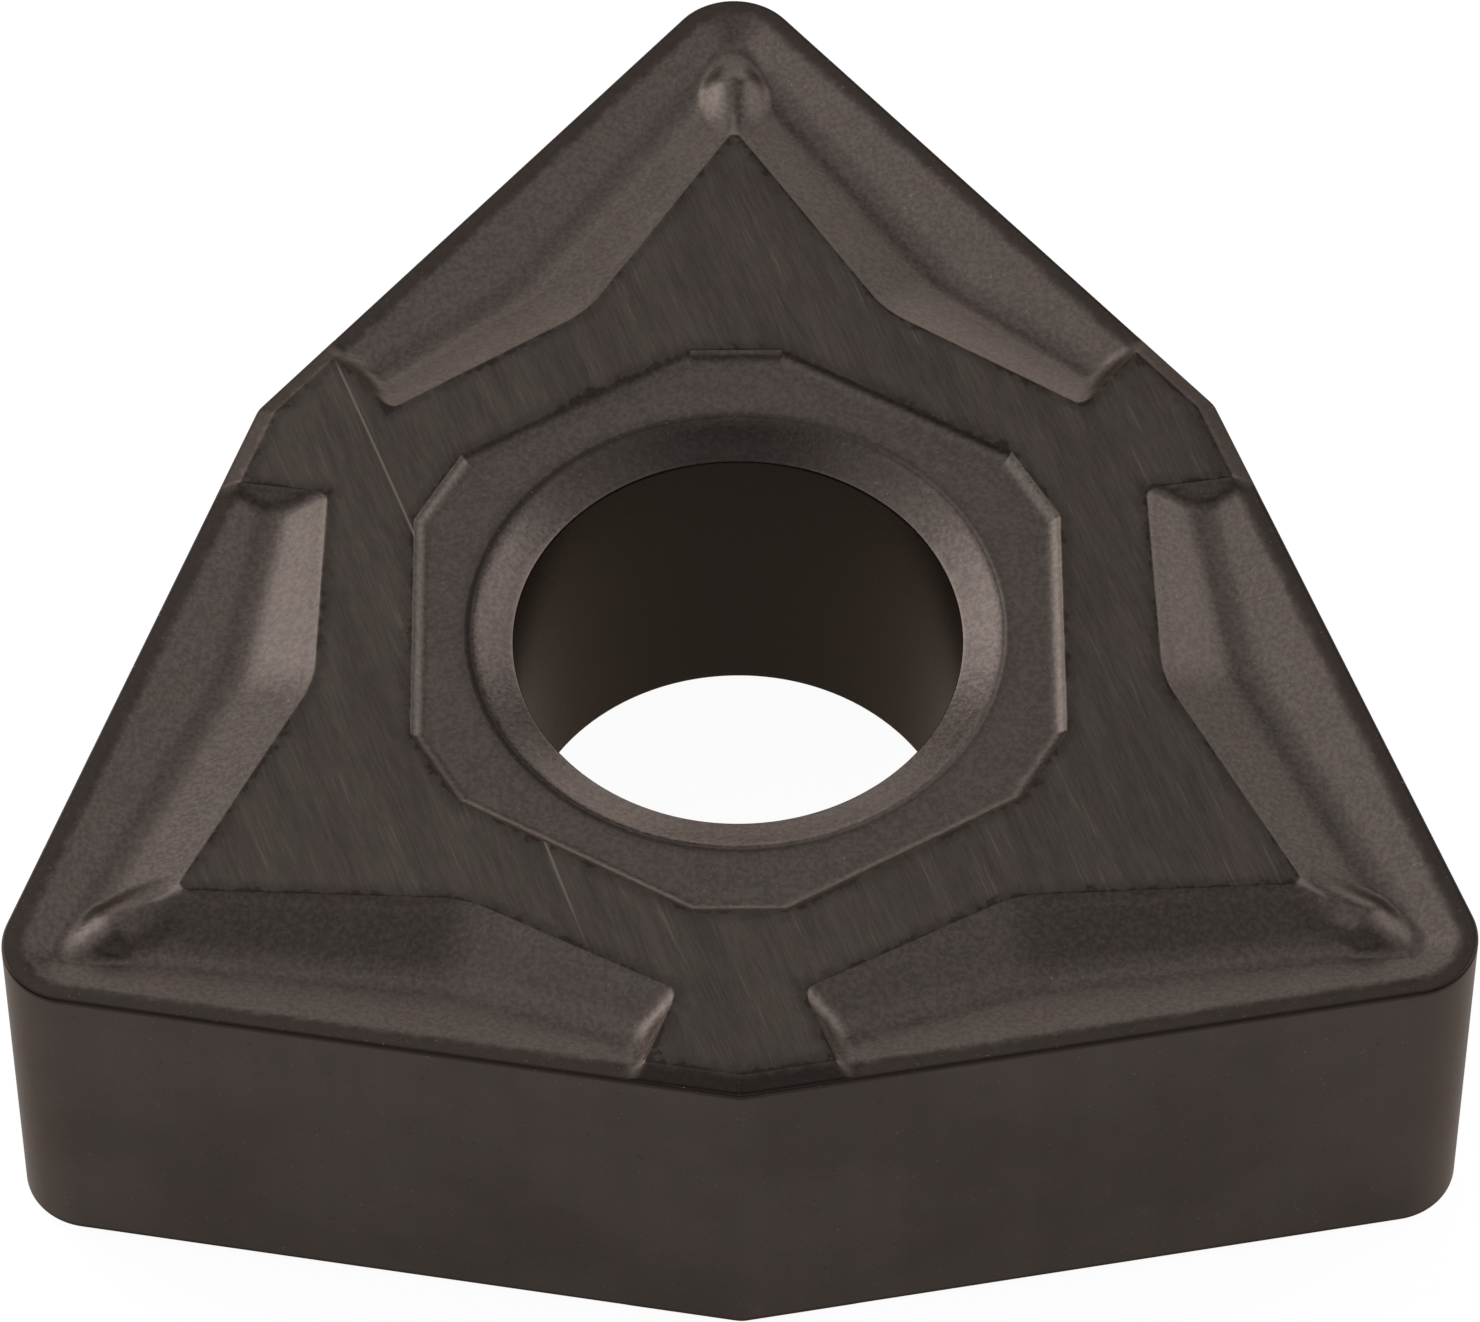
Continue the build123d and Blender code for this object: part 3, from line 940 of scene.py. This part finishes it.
class INSERT_OT_make_body(bpy.types.Operator):
    """Build the pressed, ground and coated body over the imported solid"""

    bl_idname = "insert.make_body"
    bl_label = "Make insert body"

    def execute(self, context):
        shape = context.scene.insert_shape
        mesh = mesh_from("coated_insert", *whole_surface(shape))
        mesh.materials.append(coating(shape, context.scene.insert_finish))
        body = bpy.data.objects.new("coated_insert", mesh)
        context.collection.objects.link(body)
        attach(body, BODY)
        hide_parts(SOLID)
        return {"FINISHED"}


class INSERT_OT_make_studio(bpy.types.Operator):
    """Build the floor, the lamps and the camera"""

    bl_idname = "insert.make_studio"
    bl_label = "Make studio"

    def execute(self, context):
        studio = context.scene.insert_studio
        half = studio.floor_size / 2
        height = -SEAT_HEIGHT - studio.floor_gap
        corners = [(x * half, y * half, height) for x, y in ((-1, -1), (1, -1), (1, 1), (-1, 1))]
        mesh = bpy.data.meshes.new("floor")
        mesh.from_pydata(corners, [], [(0, 1, 2, 3)])
        mesh.materials.append(floor_material(studio))
        floor = bpy.data.objects.new("floor", mesh)
        context.collection.objects.link(floor)

        room(studio)
        for name, (azimuth, elevation) in LAMPS.items():
            lamp(f"lamp_{name}", azimuth, elevation, getattr(studio, name), studio)

        data = bpy.data.cameras.new("camera")
        data.lens = studio.lens
        data.sensor_width = SENSOR_WIDTH
        data.clip_start, data.clip_end = CLIP_START, CLIP_END
        camera = bpy.data.objects.new("camera", data)
        context.collection.objects.link(camera)
        camera.location = studio.eye
        camera.rotation_euler = studio.aim
        context.scene.camera = camera
        context.scene.view_settings.view_transform = "Standard"
        return {"FINISHED"}


class INSERT_PT_panel(bpy.types.Panel):
    """Lists what the add-on builds and the sizes it builds with"""

    bl_idname = "INSERT_PT_panel"
    bl_label = "Turning insert"
    bl_space_type = "VIEW_3D"
    bl_region_type = "UI"
    bl_category = "Insert"

    def draw(self, context):
        layout = self.layout
        for operator in (INSERT_OT_make_body, INSERT_OT_make_studio):
            layout.operator(operator.bl_idname)
        for group in (context.scene.insert_shape, context.scene.insert_finish, context.scene.insert_studio):
            box = layout.box()
            for key in group.__annotations__:
                box.prop(group, key)


CLASSES = (InsertShape, InsertFinish, InsertStudio, INSERT_OT_make_body, INSERT_OT_make_studio,
           INSERT_PT_panel)


def register():
    for cls in CLASSES:
        bpy.utils.register_class(cls)
    bpy.types.Scene.insert_shape = bpy.props.PointerProperty(type=InsertShape)
    bpy.types.Scene.insert_finish = bpy.props.PointerProperty(type=InsertFinish)
    bpy.types.Scene.insert_studio = bpy.props.PointerProperty(type=InsertStudio)


def unregister():
    del bpy.types.Scene.insert_studio
    del bpy.types.Scene.insert_finish
    del bpy.types.Scene.insert_shape
    for cls in reversed(CLASSES):
        bpy.utils.unregister_class(cls)


def main():
    """Builds everything."""
    register()
    bpy.ops.insert.make_body()
    bpy.ops.insert.make_studio()


if __name__ == "__main__":
    main()
